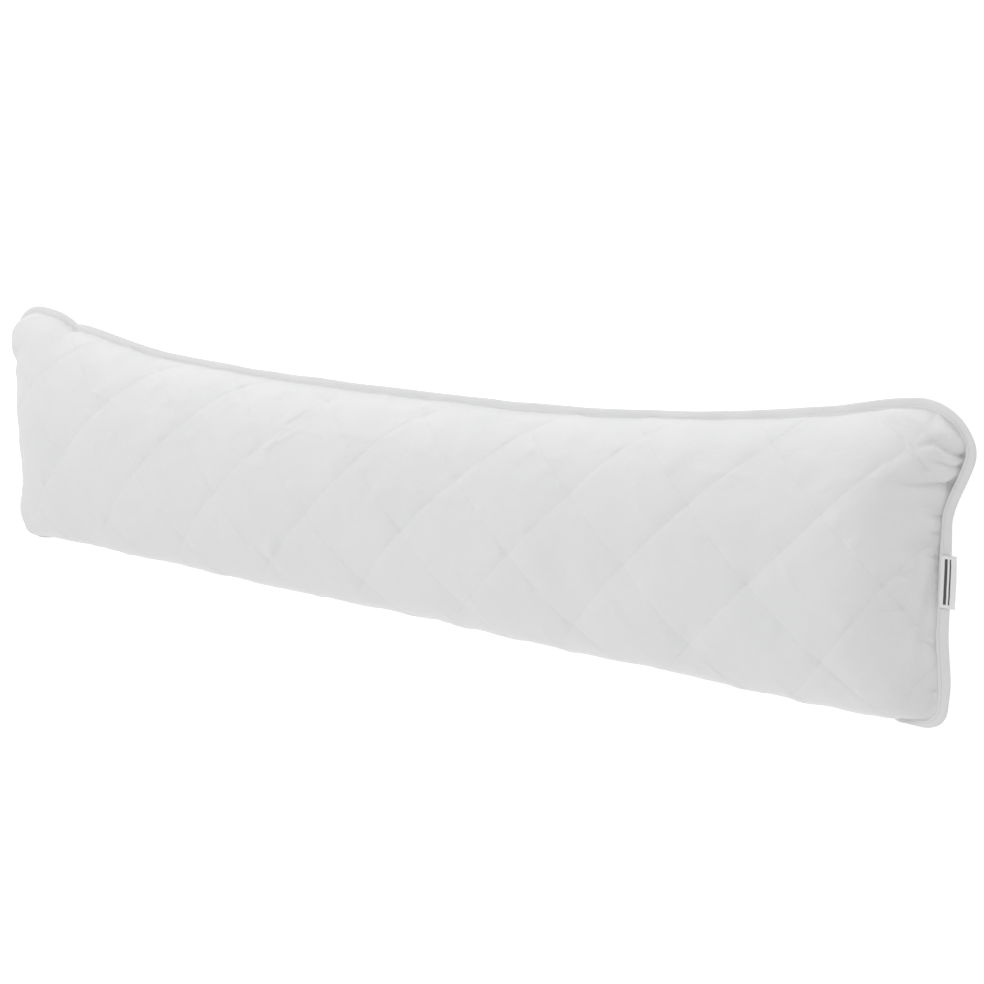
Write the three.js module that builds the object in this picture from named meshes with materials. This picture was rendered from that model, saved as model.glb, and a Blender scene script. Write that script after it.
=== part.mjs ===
import * as THREE from 'three'

// Bolster pillow lying on its back, in millimetres.
// +X runs along the pillow, +Y across it towards the drawn-in long edge, +Z out of its face.
// The origin is in the middle of the underside.

// Ends of the two panels: the end seam at half height, how far the corners stick out past it,
// and the radii to which the corners of the flat panels are cut.
const RIGHT_END = { side: 1, seamX: 689.5, upperEar: 25, lowerEar: 9, upperRadius: 56, lowerRadius: 31 }
const LEFT_END = { side: -1, seamX: 705, upperEar: 21, lowerEar: 22, upperRadius: 60, lowerRadius: 30 }
const END_ROUNDING = 105
const EAR_START = 0.33
const EAR_FULL = 0.8
const EAR_FADE = 230

// Panels laid flat, measured across the pillow, and how far the stuffing gathers and fills a corner.
const PANEL_HALF_HEIGHT = 172
const CORNER_GATHER = 0.92
const CORNER_FULLNESS = 0.3

// Height of the seam over the surface, and depth of the back panel before the surface flattens it.
const SEAM_HEIGHT = 66
const BACK_DEPTH = 73
const FLATTENING = 3
const MEAN_DEPTH = 74

// Along the lower long edge the seam has rolled towards the back.
const SEAM_ROLL = THREE.MathUtils.degToRad(16)
const ROLL_START = 24
const ROLL_FULL = 90

// Cross-sections: the two long edges and the crown of the face over the seam.
const SECTIONS = [
  { x: -740, top: 157, bottom: -163, crown: 65 },
  { x: -660, top: 151, bottom: -162, crown: 66 },
  { x: -630, top: 146, bottom: -163, crown: 66 },
  { x: -600, top: 135, bottom: -163, crown: 67 },
  { x: -560, top: 130, bottom: -162, crown: 69 },
  { x: -450, top: 113, bottom: -162, crown: 73 },
  { x: -330, top: 105, bottom: -161, crown: 77 },
  { x: -150, top: 101, bottom: -161, crown: 80 },
  { x: 60, top: 102, bottom: -161, crown: 80 },
  { x: 200, top: 104, bottom: -161, crown: 79 },
  { x: 330, top: 111, bottom: -161, crown: 76 },
  { x: 450, top: 122, bottom: -162, crown: 72 },
  { x: 560, top: 138, bottom: -162, crown: 68 },
  { x: 640, top: 154, bottom: -160, crown: 66 },
  { x: 740, top: 160, bottom: -154, crown: 62 },
]

// Diamond quilting sewn through both panels, measured on the flat cloth.
const QUILT = { pitchX: 153.6, pitchY: 146.8, crossingX: 513.3, crossingY: -13.3, depth: 3.2, reach: 14 }
const QUILT_DRIFT = 4
const STEPS_TO_CROSSING = 5
const COLUMNS = { left: 81, right: 14 }
const ROWS = { below: 11, above: 13 }

// The back panel is quilted alike, but its lines lie this many grid steps further along and across.
const BACK_SHIFT = { columns: 2, rows: 3 }

// Soft folds of the face that run out of the corners, on the flat cloth.
const FOLDS = [
  { fromX: 640, fromY: 112, toX: 722, toY: 92, width: 15, depth: 9 },
  { fromX: 668, fromY: 128, toX: 716, toY: 120, width: 13, depth: 5 },
  { fromX: 636, fromY: 76, toX: 716, toY: 66, width: 17, depth: 7 },
  { fromX: -640, fromY: 118, toX: -722, toY: 84, width: 16, depth: 6 },
  { fromX: -602, fromY: 138, toX: -606, toY: 172, width: 14, depth: 5 },
  { fromX: 655, fromY: -112, toX: 714, toY: -98, width: 15, depth: 4 },
  { fromX: -655, fromY: -112, toX: -722, toY: -100, width: 15, depth: 4 },
]

// Edge binding, a soft flat band sewn into the seam all round.
const BINDING_WIDTH = 10
const BINDING_THICKNESS = 4.2
const PIECE_GAP = 0.3

// Side label, a folded tape sewn in at the right end.
const LABEL = { centreY: -12, length: 53, width: 17.4, thickness: 1.2 }

const PANELS = ['face', 'back']
const QUARTER_STEPS = 40
const QUARTER_TURN = Math.PI / 2

// A smooth curve through the column of a table, by Hermite pieces with mean slopes.
function columnAt(table, column, x) {
  const last = table.length - 1
  const clamped = Math.min(Math.max(x, table[0].x), table[last].x)
  let i = 0
  while (i < last - 1 && clamped > table[i + 1].x) {
    i += 1
  }
  const slopeAt = (k) => {
    const before = table[Math.max(k - 1, 0)]
    const after = table[Math.min(k + 1, last)]
    return (after[column] - before[column]) / (after.x - before.x)
  }
  const from = table[i]
  const to = table[i + 1]
  const span = to.x - from.x
  const t = (clamped - from.x) / span
  const rise = t * t * (3 - 2 * t)
  const leave = t * (1 - t) * (1 - t) * span * slopeAt(i)
  const arrive = t * t * (t - 1) * span * slopeAt(i + 1)
  return from[column] * (1 - rise) + to[column] * rise + leave + arrive
}

// Length of each step along a quarter of an ellipse, from its crown to its edge.
function quarterLengths(halfWidth, depth) {
  const lengths = [0]
  for (let i = 1; i <= QUARTER_STEPS; i += 1) {
    const middle = ((i - 0.5) / QUARTER_STEPS) * QUARTER_TURN
    const step = Math.hypot(halfWidth * Math.cos(middle), depth * Math.sin(middle))
    lengths.push(lengths[i - 1] + (step * QUARTER_TURN) / QUARTER_STEPS)
  }
  return lengths
}

// Angle from the crown at which a share of the quarter's length has been walked.
function quarterAngle(share, halfWidth, depth) {
  const lengths = quarterLengths(halfWidth, depth)
  const target = Math.min(Math.abs(share), 1) * lengths[QUARTER_STEPS]
  let i = 1
  while (i < QUARTER_STEPS && lengths[i] < target) {
    i += 1
  }
  const within = (target - lengths[i - 1]) / (lengths[i] - lengths[i - 1])
  return ((i - 1 + within) / QUARTER_STEPS) * QUARTER_TURN * Math.sign(share)
}

const END_ARC = quarterLengths(END_ROUNDING, MEAN_DEPTH)[QUARTER_STEPS]

function panelHalfLength(end) {
  return end.seamX - END_ROUNDING + END_ARC
}

// How much a round corner takes off a flat side, this far from the end of the other side.
function cornerCut(fromEnd, radius) {
  const inside = Math.min(Math.max(radius - fromEnd, 0), radius)
  return radius - Math.sqrt(radius * radius - inside * inside)
}

// Moves a point of the rectangular grid so that the grid ends in round corners.
function roundCorner(along, across, halfLength, radius) {
  const beyondX = (Math.abs(along) - halfLength + radius) / radius
  const beyondY = (Math.abs(across) - PANEL_HALF_HEIGHT + radius) / radius
  if (beyondX <= 0 || beyondY <= 0) {
    return [along, across]
  }
  const roundX = beyondX * Math.sqrt(1 - (beyondY * beyondY) / 2)
  const roundY = beyondY * Math.sqrt(1 - (beyondX * beyondX) / 2)
  return [
    Math.sign(along) * (halfLength - radius * (1 - roundX)),
    Math.sign(across) * (PANEL_HALF_HEIGHT - radius * (1 - roundY)),
  ]
}

// How far a corner sticks out past the middle of its end.
function earAt(end, across) {
  const height = THREE.MathUtils.smoothstep(Math.abs(across) / PANEL_HALF_HEIGHT, EAR_START, EAR_FULL)
  return height * (across > 0 ? end.upperEar : end.lowerEar)
}

function flattened(height) {
  if (height > FLATTENING) {
    return height
  }
  if (height < -FLATTENING) {
    return 0
  }
  return ((height + FLATTENING) * (height + FLATTENING)) / (4 * FLATTENING)
}

// Share of the full depth that an end and a side leave together, fuller in the corners.
function filledShare(endShare, sideShare) {
  const inCorner = Math.min(4 * (1 - endShare) * (1 - sideShare), 1)
  return Math.pow(endShare * sideShare, 1 - CORNER_FULLNESS * inCorner)
}

// Point of the smooth face or back panel over a point of the flat cloth.
function panelPoint(panel, gridX, gridY) {
  const isFace = panel === 'face'
  const end = gridX > 0 ? RIGHT_END : LEFT_END
  const halfLength = panelHalfLength(end)
  const radius = gridY > 0 ? end.upperRadius : end.lowerRadius
  const [along, across] = roundCorner(gridX, gridY, halfLength, radius)
  const cutX = cornerCut(PANEL_HALF_HEIGHT - Math.abs(across), radius)
  const upperCut = cornerCut(halfLength - Math.abs(along), end.upperRadius)
  const lowerCut = cornerCut(halfLength - Math.abs(along), end.lowerRadius)
  const cutY = gridY > 0 ? upperCut : lowerCut
  const endGap = Math.max(halfLength - cutX - Math.abs(along), 0)
  const sideShare = THREE.MathUtils.clamp(across / (PANEL_HALF_HEIGHT - cutY), -1, 1)

  const endAngle = quarterAngle(1 - Math.min(endGap / END_ARC, 1), END_ROUNDING, MEAN_DEPTH)
  const endDepth = Math.cos(endAngle)
  const fromSeam = END_ROUNDING * (1 - Math.sin(endAngle)) + Math.max(endGap - END_ARC, 0)
  const earFade = 1 - THREE.MathUtils.smoothstep(endGap, 0, EAR_FADE)
  const x = end.side * (end.seamX + earAt(end, across) * earFade - cutX - fromSeam)

  const top = columnAt(SECTIONS, 'top', x) - upperCut * CORNER_GATHER
  const bottom = columnAt(SECTIONS, 'bottom', x) + lowerCut * CORNER_GATHER
  const halfHeight = (top - bottom) / 2
  const crown = columnAt(SECTIONS, 'crown', x)
  const depth = (isFace ? crown : BACK_DEPTH) * endDepth
  const rolled = THREE.MathUtils.smoothstep(endGap, ROLL_START, ROLL_FULL)
  const roll = sideShare < 0 ? SEAM_ROLL * sideShare * sideShare * rolled : 0
  const angle = quarterAngle(sideShare, halfHeight, depth) + (isFace ? -roll : roll)
  const y = (top + bottom) / 2 + halfHeight * Math.sin(angle)
  const lift = Math.cos(angle)
  const filled = filledShare(endDepth, Math.abs(lift))
  if (isFace && lift > 0) {
    return new THREE.Vector3(x, y, SEAM_HEIGHT + crown * filled)
  }
  return new THREE.Vector3(x, y, flattened(SEAM_HEIGHT - BACK_DEPTH * filled))
}

// Share of the quilting depth at a point of the flat cloth, 1 on a sewn line.
function quiltShare(panel, along, across) {
  const shift = panel === 'back' ? BACK_SHIFT : { columns: 0, rows: 0 }
  const u = (along - QUILT.crossingX) / QUILT.pitchX - shift.columns / (2 * STEPS_TO_CROSSING)
  const v = (across - QUILT.crossingY) / QUILT.pitchY - shift.rows / (2 * STEPS_TO_CROSSING)
  const scale = 1 / Math.hypot(1 / QUILT.pitchX, 1 / QUILT.pitchY)
  const rising = Math.abs(u - v - Math.round(u - v)) * scale
  const falling = Math.abs(u + v - Math.round(u + v)) * scale
  const nearest = Math.min(rising, falling) / QUILT.reach
  return nearest < 1 ? (1 - nearest * nearest) * (1 - nearest * nearest) : 0
}

// Sewn lines drift a little on the cloth.
function drifted(along, across) {
  return [
    along + QUILT_DRIFT * Math.sin(across / 60 + along / 210),
    across + QUILT_DRIFT * 0.6 * Math.sin(along / 150 + 1),
  ]
}

function foldDepth(along, across) {
  let depth = 0
  for (const fold of FOLDS) {
    const runX = fold.toX - fold.fromX
    const runY = fold.toY - fold.fromY
    const runSquared = runX * runX + runY * runY
    const share = ((along - fold.fromX) * runX + (across - fold.fromY) * runY) / runSquared
    const t = THREE.MathUtils.clamp(share, 0, 1)
    const away = Math.hypot(along - fold.fromX - t * runX, across - fold.fromY - t * runY)
    const nearest = Math.min(away / fold.width, 1)
    depth += fold.depth * Math.sin(t * Math.PI * 0.75) * (1 - nearest * nearest) ** 2
  }
  return depth
}

// The grid's lines run through the quilting's crossings, and its outermost ones are the seam.
function gridValues(from, to, crossing, step, first, last) {
  const values = []
  for (let i = from; i <= to; i += 1) {
    values.push(crossing + i * step)
  }
  values[0] = first
  values[values.length - 1] = last
  return values
}

const columns = gridValues(
  -COLUMNS.left,
  COLUMNS.right,
  QUILT.crossingX,
  QUILT.pitchX / 2 / STEPS_TO_CROSSING,
  -panelHalfLength(LEFT_END),
  panelHalfLength(RIGHT_END),
)
const rows = gridValues(
  -ROWS.below,
  ROWS.above,
  QUILT.crossingY,
  QUILT.pitchY / 2 / STEPS_TO_CROSSING,
  -PANEL_HALF_HEIGHT,
  PANEL_HALF_HEIGHT,
)
const lastColumn = columns.length - 1
const lastRow = rows.length - 1

function isSeam(i, j) {
  return i === 0 || j === 0 || i === lastColumn || j === lastRow
}

// Point of a panel with its sewn channels and folds pressed in along the local normal.
function quiltedPoint(panel, i, j) {
  if (isSeam(i, j)) {
    return panelPoint(panel, columns[i], rows[j])
  }
  const [along, across] = drifted(columns[i], rows[j])
  const alongX = panelPoint(panel, along + 1, across).sub(panelPoint(panel, along - 1, across))
  const acrossY = panelPoint(panel, along, across + 1).sub(panelPoint(panel, along, across - 1))
  const inward = panel === 'face' ? acrossY.cross(alongX) : alongX.cross(acrossY)
  const fold = panel === 'face' ? foldDepth(along, across) : 0
  const depth = QUILT.depth * quiltShare(panel, columns[i], rows[j]) + fold
  return panelPoint(panel, along, across).addScaledVector(inward.normalize(), depth)
}

// The two panels share the seam's vertices and close into one filled solid.
function buildPillow() {
  const positions = []
  const vertexAt = { face: [], back: [] }
  for (const panel of PANELS) {
    for (let i = 0; i <= lastColumn; i += 1) {
      vertexAt[panel][i] = []
      for (let j = 0; j <= lastRow; j += 1) {
        if (panel === 'back' && isSeam(i, j)) {
          vertexAt.back[i][j] = vertexAt.face[i][j]
          continue
        }
        vertexAt[panel][i][j] = positions.length / 3
        positions.push(...quiltedPoint(panel, i, j).toArray())
      }
    }
  }
  const triangles = []
  for (const panel of PANELS) {
    const at = vertexAt[panel]
    for (let i = 0; i < lastColumn; i += 1) {
      for (let j = 0; j < lastRow; j += 1) {
        const quad = [at[i][j], at[i + 1][j], at[i + 1][j + 1], at[i][j + 1]]
        const order = risesToRight(panel, i, j) ? [0, 1, 2, 0, 2, 3] : [0, 1, 3, 1, 2, 3]
        const corners = order.map((k) => quad[k])
        triangles.push(...(panel === 'face' ? corners : corners.reverse()))
      }
    }
  }
  const geometry = new THREE.BufferGeometry()
  geometry.setAttribute('position', new THREE.Float32BufferAttribute(positions, 3))
  geometry.setIndex(triangles)
  geometry.computeVertexNormals()
  return geometry
}

// Each cell is split along the quilting line that crosses it, and a corner cell into its corner.
function risesToRight(panel, i, j) {
  const atLeft = i === 0
  const atRight = i === lastColumn - 1
  const atBottom = j === 0
  const atTop = j === lastRow - 1
  if ((atLeft && atBottom) || (atRight && atTop)) {
    return true
  }
  if ((atLeft && atTop) || (atRight && atBottom)) {
    return false
  }
  const shifted = panel === 'back' ? BACK_SHIFT.columns + BACK_SHIFT.rows : 0
  return (i - COLUMNS.left + j - ROWS.below + shifted) % 2 === 0
}

// The seam as a closed loop of points, anticlockwise from above.
function seamLoop() {
  const steps = []
  for (let i = 0; i < lastColumn; i += 1) {
    steps.push([i, 0])
  }
  for (let j = 0; j < lastRow; j += 1) {
    steps.push([lastColumn, j])
  }
  for (let i = lastColumn; i > 0; i -= 1) {
    steps.push([i, lastRow])
  }
  for (let j = lastRow; j > 0; j -= 1) {
    steps.push([0, j])
  }
  return steps.map(([i, j]) => panelPoint('face', columns[i], rows[j]))
}

// The band's rounded section: distance out from the seam, and height over its middle plane.
function bindingSection() {
  const half = BINDING_THICKNESS / 2
  return [
    { out: PIECE_GAP, up: -half * 0.8 },
    { out: BINDING_WIDTH * 0.5, up: -half },
    { out: BINDING_WIDTH * 0.88, up: -half * 0.65 },
    { out: BINDING_WIDTH, up: 0 },
    { out: BINDING_WIDTH * 0.88, up: half * 0.65 },
    { out: BINDING_WIDTH * 0.5, up: half },
    { out: PIECE_GAP, up: half * 0.8 },
  ]
}

// The band leans as far back as the seam has rolled.
function bindingFrame(loop, k) {
  const point = loop[k]
  const next = loop[(k + 1) % loop.length]
  const before = loop[(k + loop.length - 1) % loop.length]
  const tangent = next.clone().sub(before).normalize()
  const level = new THREE.Vector3(tangent.y, -tangent.x, 0).normalize()
  const drop = (SEAM_HEIGHT - point.z) / BACK_DEPTH
  const halfHeight = (columnAt(SECTIONS, 'top', point.x) - columnAt(SECTIONS, 'bottom', point.x)) / 2
  const lean = Math.atan2(drop * halfHeight, Math.sqrt(1 - drop * drop) * BACK_DEPTH)
  const out = level.clone().multiplyScalar(Math.cos(lean))
  out.z -= Math.sin(lean)
  const up = tangent.clone().cross(out).normalize().negate()
  return { point, out, up }
}

function buildBinding() {
  const loop = seamLoop()
  const section = bindingSection()
  const positions = []
  loop.forEach((_, k) => {
    const { point, out, up } = bindingFrame(loop, k)
    for (const corner of section) {
      const place = point.clone().addScaledVector(out, corner.out).addScaledVector(up, corner.up)
      positions.push(...place.toArray())
    }
  })
  const triangles = []
  for (let k = 0; k < loop.length; k += 1) {
    const here = k * section.length
    const there = ((k + 1) % loop.length) * section.length
    for (let s = 0; s < section.length; s += 1) {
      const t = (s + 1) % section.length
      triangles.push(here + s, there + s, there + t)
      triangles.push(here + s, there + t, here + t)
    }
  }
  const geometry = new THREE.BufferGeometry()
  geometry.setAttribute('position', new THREE.Float32BufferAttribute(positions, 3))
  geometry.setIndex(triangles)
  geometry.computeVertexNormals()
  return geometry
}

function clothMaterial(color, roughness) {
  return new THREE.MeshStandardMaterial({ color, roughness, metalness: 0 })
}

function pillowMesh() {
  const mesh = new THREE.Mesh(buildPillow(), clothMaterial(0xf4f4f3, 0.9))
  mesh.name = 'pillow'
  return mesh
}

function bindingMesh() {
  const mesh = new THREE.Mesh(buildBinding(), clothMaterial(0xdedfe0, 0.85))
  mesh.name = 'edge_binding'
  return mesh
}

// The label lies on the face side of the band and reaches past it.
function labelMesh() {
  const geometry = new THREE.BoxGeometry(LABEL.width, LABEL.length, LABEL.thickness)
  const mesh = new THREE.Mesh(geometry, clothMaterial(0xfafafa, 0.6))
  mesh.name = 'side_label'
  const nearSeam = RIGHT_END.seamX + 5 * PIECE_GAP
  const overBand = SEAM_HEIGHT + BINDING_THICKNESS / 2 + PIECE_GAP
  mesh.position.set(nearSeam + LABEL.width / 2, LABEL.centreY, overBand + LABEL.thickness / 2)
  return mesh
}

const group = new THREE.Group()
group.name = 'bolster_pillow'
group.add(pillowMesh(), bindingMesh(), labelMesh())

export default group
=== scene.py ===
"""Quilted bolster pillow on its back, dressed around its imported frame."""
import math

import bpy
import numpy as np
from mathutils import Matrix, Vector


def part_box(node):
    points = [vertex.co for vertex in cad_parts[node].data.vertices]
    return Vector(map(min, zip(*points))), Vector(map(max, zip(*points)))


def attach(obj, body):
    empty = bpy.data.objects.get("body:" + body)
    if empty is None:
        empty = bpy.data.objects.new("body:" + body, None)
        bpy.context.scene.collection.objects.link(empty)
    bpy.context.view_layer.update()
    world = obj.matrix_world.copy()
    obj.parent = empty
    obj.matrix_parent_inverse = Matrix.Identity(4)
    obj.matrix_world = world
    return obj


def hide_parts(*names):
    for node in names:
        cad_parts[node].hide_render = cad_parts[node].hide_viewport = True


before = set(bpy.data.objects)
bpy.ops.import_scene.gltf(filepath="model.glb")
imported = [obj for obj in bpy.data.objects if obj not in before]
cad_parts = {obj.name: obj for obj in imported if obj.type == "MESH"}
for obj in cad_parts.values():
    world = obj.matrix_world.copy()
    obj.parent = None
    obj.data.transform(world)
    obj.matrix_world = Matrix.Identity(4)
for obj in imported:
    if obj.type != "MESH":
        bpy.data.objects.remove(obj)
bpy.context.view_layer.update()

MM = 0.001
joined = np.concatenate

# The pillow's own sizes, in millimetres, as its frame has them
END_SIDE = {"left": -1.0, "right": 1.0}
END_SEAM = {"left": 705.0, "right": 689.5}
UPPER_EAR = {"left": 21.0, "right": 25.0}
LOWER_EAR = {"left": 16.0, "right": 5.0}
UPPER_RADIUS = {"left": 60.0, "right": 56.0}
LOWER_RADIUS = {"left": 25.0, "right": 17.0}
END_ROUNDING = 105.0
END_PULL, LOW_END_PULL = {"left": 0.0, "right": 9.0}, {"left": 0.0, "right": 5.0}
END_PULL_REACH, LOW_PULL_ACROSS = 25.0, (-70, 10)
EAR_START, EAR_FULL, EAR_FADE = 0.33, 0.8, 230.0
HALF_HEIGHT = 172.0
CORNER_GATHER, CORNER_FULLNESS, CORNER_ONSET = 0.92, 0.3, 4
LOW_RIGHT_SLACK, SLACK_ALONG, SLACK_ACROSS = 0.25, (560, 680), (-150, -80)
SEAM_HEIGHT, BACK_DEPTH, FLATTENING, MEAN_DEPTH = 66.0, 73.0, 3.0, 74.0
SEAM_ROLL, ROLL_START, ROLL_FULL = math.radians(16), 24.0, 90.0
SECTIONS = np.array([  # x, top, bottom, crown
    (-740, 157, -163, 65), (-660, 151, -162, 66), (-630, 146, -163, 66),
    (-600, 135, -163, 67), (-560, 130, -162, 69), (-450, 113, -162, 73),
    (-330, 105, -161, 77), (-150, 101, -161, 80), (60, 102, -161, 80),
    (200, 104, -161, 79), (330, 111, -161, 76), (450, 122, -162, 72),
    (560, 138, -162.5, 68), (640, 154, -161, 66), (740, 160, -153, 62),
], float)
TOP, BOTTOM, CROWN = 1, 2, 3
QUARTER_STEPS = 72

# Diamond quilting on the flat cloth. The face's grid has this many steps from line to line.
PITCH_X, PITCH_Y, CROSSING_X, CROSSING_Y = 153.6, 146.8, 513.3, -13.3
FINE_STEPS = 56
BACK_SHIFT = (12, 17)
LINE_SPACING = 1 / math.hypot(1 / PITCH_X, 1 / PITCH_Y)

# Crossings of the sewn lines: grid point, how far the sewing wandered, depth drawn in.
CROSSINGS = (
    (513.3, 133.5, 5.1, -5.5, 0.6), (666.9, 133.5, -12, -8.5, 0.9), (590.1, 60.1, 1.8, -2.6, 2.2),
    (436.5, 60.1, -3.6, 4.9, 0.9), (513.3, -13.3, -6.9, -5.7, 1.8), (359.7, -13.3, 1.2, 3.3, 1.2),
    (436.5, -86.7, -5.1, 3.2, 1.6), (590.1, -86.7, 3.3, 9.2, 1.2), (666.9, -13.3, -9, 0, 2.8),
    (-408.3, -13.3, 2.7, 16.8, 2), (-254.7, -13.3, -6.9, 7.8, 2.4), (-101.1, -13.3, 4, 5, 2.4),
    (52.5, -13.3, -3, 3, 1.8), (206.1, -13.3, 2, -2, 2), (-331.5, 60.1, 5, 11, 0.8),
    (-24.3, 60.1, -4, 6, 1.8),
)
CROSSING_DEPTH, CROSSING_SPREAD, FACET_HEIGHT = 1.2, 15.0, 1.8
CROSSING_SINK, TIGHT_REACH = 1.5, 14
DRIFT_REACH, EVEN_WEIGHT = 62.0, 0.12
CLEAR_SIDE, CLEAR_END = 45, 60
EDGE_SKEW, EDGE_SKEW_START, EDGE_SKEW_X, EDGE_SKEW_REACH = 43, 125, 622, 110
EAR_SKEW, EAR_SKEW_X, EAR_SKEW_Y, EAR_SKEW_LENGTH, EAR_SKEW_HEIGHT = 9, 727, 80, 70, 55

# Soft folds of the face, on the flat cloth: from, to, half width, depth. A lobe has a negative depth.
FOLDS = (
    (648, 112, 676, 98, 17, -2.2), (690, 105, 722, 103, 10, -1.4), (688, 158, 714, 143, 22, -4),
    (640, 92, 722, 92, 24, 1.6), (-640, 118, -722, 84, 16, 3),
    (-106, 104, -150, 74, 5, -0.8), (-150, 78, -168, 62, 6, -1.4), (-254, -24, -251, -54, 6, 1),
    (-150, -40, -172, -72, 15, -2.6), (-300, -52, -268, -74, 16, -2.2), (-470, -74, -410, -80, 18, -2.4),
)

# Creases of the face, on the flat cloth: from, to, half width above and below, depth at each end.
CREASES = (
    (658, 123.5, 670, 128, 5, 5, 0.5, 2.8), (670, 128, 686, 134, 8, 6, 2.8, 4.4),
    (686, 134, 697, 134, 10, 6, 4.4, 5), (697, 134, 725, 126, 14, 6, 5, 6),
    (676, 114.5, 704, 115, 7, 6, 0.8, 3.2), (704, 115, 724, 113, 8, 5, 3.2, 3.4),
    (661, 118, 673, 113, 7, 4, 0.6, 1.4), (673, 113, 688, 104, 9, 4, 1.4, 2.4),
    (688, 104, 700, 106, 7, 5, 2.4, 1),
    (646, 90, 682, 86, 16, 12, 0, 4), (682, 86, 704, 91, 14, 9, 4, 6.4),
    (704, 91, 726, 96, 11, 8, 6.4, 6),
    (618, 160, 634, 145, 6, 20, 1.4, 3.4), (634, 145, 652, 126, 6, 20, 3.4, 2),
    (636, 108, 629, 90, 10, 6, 1, 0.4),
    (665, -6, 688, -4, 15, 4, 1.4, 2.4), (662, -38, 690, -40, 13, 4, 1.2, 2.2),
    (-603, 172, -606, 146, 7, 7, 1.6, 0), (-592, 172, -566, 150, 8, 8, 1, 0),
    (723, 63, 703, 62, 5, 4, 3.6, 0), (723, 48, 706, 46, 5, 4, 3, 0),
    (723, 23, 708, 22, 5, 4, 3, 0),
    (727, -80, 707, -66, 6, 5, 3.6, 0), (725, -134, 714, -132, 4, 3, 2, 0),
    (725, -150, 716, -147, 4, 3, 1.2, 0),
)

FOLD_TURN, CREASE_SHARPNESS = 0.75, 1.5

# Channels, puckers and tugs along the sewn lines: height, length along the line, reach and start beside it.
CHANNEL_DEPTH, TIGHT_DEPTH, CHANNEL_REACH, CHANNEL_FLOOR = 0.14, 0.5, 5.0, 0.9
PUCKER_HEIGHT, PUCKER_LENGTH, PUCKER_REACH, PUCKER_START = 0.4, 6.5, 6, 1.8
TUG_HEIGHT, TUG_LENGTH, TUG_REACH, TUG_START = 2.6, 17, 13, 4
TIGHT_MEAN, TIGHT_SWING, TIGHT_LENGTH = 0.45, 1.2, 52
LINE_STEP, LINE_SIDE_STEP = 7.3, 3.1
ON_LINE = 1e-6
PUFF_HEIGHT, PUFF_ROUNDNESS = 1.1, 0.7

# Beside the seam: the dip, the swell and the loose cloth, each with its length, its drift and its reach.
DIP_LENGTH, DIP_REACH, DIP_SWING = 6.5, 1.7, 0.9
SWELL_LENGTH, SWELL_DRIFT, SWELL_REACH, SWELL_START = 7, 55, 12, 2.5
LOOSE_SHARE, LOOSE_LENGTH, LOOSE_DRIFT, LOOSE_REACH, LOOSE_START = 1.3, 24, 90, 32, 6
# The seam's strain pinches the cloth and also sets the painted shade beside the seam.
STRAIN_REST, STRAIN_GAIN, STRAIN_ALONG, STRAIN_EAR = 0.12, 0.88, (600, 680), (-25, 20)
STRAIN_EASE, EASE_ACROSS = 0.6, (120, 150)
LABEL_STRAIN, LABEL_Y, LABEL_REACH = 0.7, -72, 26

# Waves of the cloth: length along, slant of it, length across, slant of it. No slant is an endless one.
BROAD_WAVE, RIDGE_WAVE = (95, math.inf, 70, math.inf), (74, 160, 60, math.inf)
CROSS_WAVE, FINE_WAVE = (30, 45, 24, -60), (11, 30, 17, math.inf)
SLACK_WAVE, SLACK_FINE_WAVE = (27, 70, 24, math.inf), (9, math.inf, 8, 40)

SWAY_REACH, SWAY_UP, SWAY_UP_LENGTH = 22, 0.9, 45
SWAY_IN, SWAY_IN_ALONG, SWAY_IN_ACROSS = 0.5, 38, 60
NICK_X, NICK_WIDTH, NICK_DEPTH = -601, 7, 2.6

# The binding's width, and what is added to it over spans in x and in y. A span given backwards falls.
BINDING_WIDTH, WIDTH_SWING, WIDTH_LENGTH = 10.0, 0.035, 60
WIDTH_CHANGES = (
    (2.4, ((640, 690),), ((50, -20), (-150, -110))),
    (-2.0, ((600, 660),), ((-148, -158),)),
    (-3.5, ((600, 660), (700, 650)), ((-148, -158),)),
    (-5.5, ((-600, -660),), ((-60, -150),)),
    (-1.0, ((640, 560),), ((60, 90),)),
)
TAPE_PUCKER, TAPE_PUCKER_LENGTH, TAPE_PUCKER_REACH = 0.17, 5.2, 0.22
TAPE_SLACK, SLACK_LENGTH, TAPE_LIFT, TAPE_LIFT_LENGTH = 0.22, 16, 0.35, 23


# Smooth shape of the two panels


def ramp(value, start, end):
    t = np.clip((value - start) / (end - start), 0, 1)
    return t * t * (3 - 2 * t)


def section_at(column, x):
    """A smooth curve through a column of the cross-sections."""
    xs, ys = SECTIONS[:, 0], SECTIONS[:, column]
    slopes = np.empty(len(xs))
    slopes[1:-1] = (ys[2:] - ys[:-2]) / (xs[2:] - xs[:-2])
    slopes[0] = (ys[1] - ys[0]) / (xs[1] - xs[0])
    slopes[-1] = (ys[-1] - ys[-2]) / (xs[-1] - xs[-2])
    x = np.clip(x, xs[0], xs[-1])
    i = np.clip(np.searchsorted(xs, x) - 1, 0, len(xs) - 2)
    span = xs[i + 1] - xs[i]
    t = (x - xs[i]) / span
    rise = t * t * (3 - 2 * t)
    leave = t * (1 - t) ** 2 * span * slopes[i]
    arrive = t * t * (t - 1) * span * slopes[i + 1]
    return ys[i] * (1 - rise) + ys[i + 1] * rise + leave + arrive


def quarter_lengths(half_width, depth):
    """Length walked along a quarter of an ellipse after each step from its crown."""
    middle = (np.arange(QUARTER_STEPS) + 0.5) / QUARTER_STEPS * math.pi / 2
    steps = np.hypot(half_width[..., None] * np.cos(middle), depth[..., None] * np.sin(middle))
    lengths = np.cumsum(steps, axis=-1) * (math.pi / 2 / QUARTER_STEPS)
    return joined([np.zeros(lengths.shape[:-1] + (1,)), lengths], axis=-1)


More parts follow.
